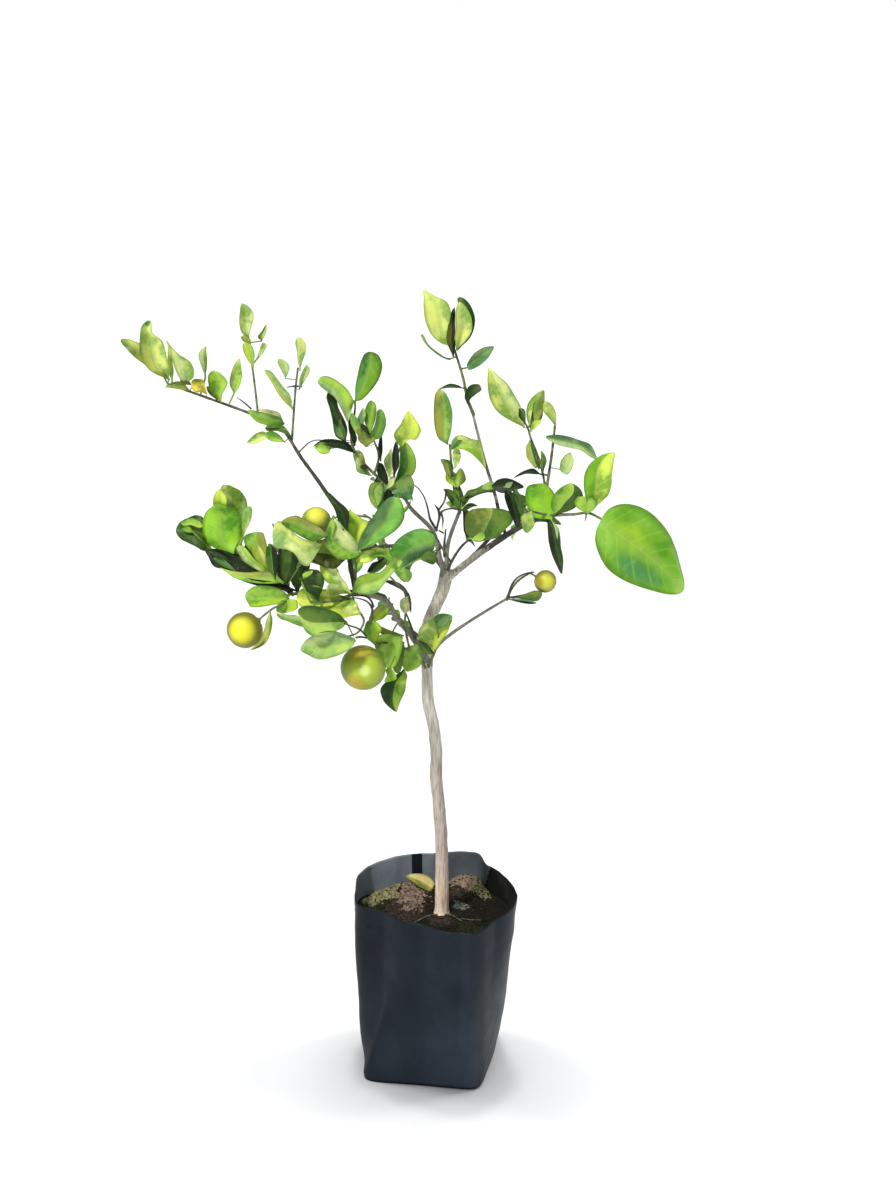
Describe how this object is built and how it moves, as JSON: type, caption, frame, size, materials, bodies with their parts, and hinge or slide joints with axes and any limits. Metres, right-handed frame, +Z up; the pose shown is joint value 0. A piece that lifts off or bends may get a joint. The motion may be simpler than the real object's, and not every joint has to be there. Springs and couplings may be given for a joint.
{
  "type": "potted minneola tangelo tree",
  "caption": "Young citrus tree with a thin forked trunk, an open leafy crown and small green fruit, in a square-footed black polythene grow bag.",
  "frame": {"origin": "middle of the flat underside of the grow bag, on the surface that it stands on", "axes": "+Z up along the trunk, which is the longest extent; -Y towards the side that the tree is seen from, +X to the right of that view"},
  "size_m": [0.6025, 0.3235, 0.8723],
  "materials": {
    "bag_film": "black polythene film, semi-matt, creased",
    "potting_mix": "moist brown potting mix with moss and crumbs",
    "bark": "thin grey-brown bark, matt",
    "foliage": "leathery citrus leaves, yellow-green to dark green, soft sheen"
  },
  "bodies": {
    "root": {"grow_bag": "bag_film", "potting_mix": "potting_mix", "trunk": "bark", "bough_leader": "bark", "bough_right": "bark", "bough_low_left": "bark", "bough_low_right": "bark", "bough_centre_left": "bark", "bough_centre": "bark", "bough_back": "bark", "bough_back_right": "bark", "bough_back_low": "bark", "bough_left_low": "bark", "bough_left_long": "bark", "bough_top": "bark", "bough_back_left": "bark", "foliage_left": "foliage", "foliage_centre_left": "foliage", "foliage_middle": "foliage", "foliage_low_middle": "foliage", "foliage_low_left": "foliage", "foliage_fork": "foliage", "foliage_fork_right": "foliage", "foliage_top": "foliage", "foliage_centre": "foliage", "foliage_inner": "foliage", "foliage_right": "foliage", "foliage_right_upper": "foliage", "foliage_low_right": "foliage", "foliage_back": "foliage", "foliage_back_left": "foliage", "foliage_back_right": "foliage", "foliage_back_low": "foliage"}
  },
  "joints": []
}
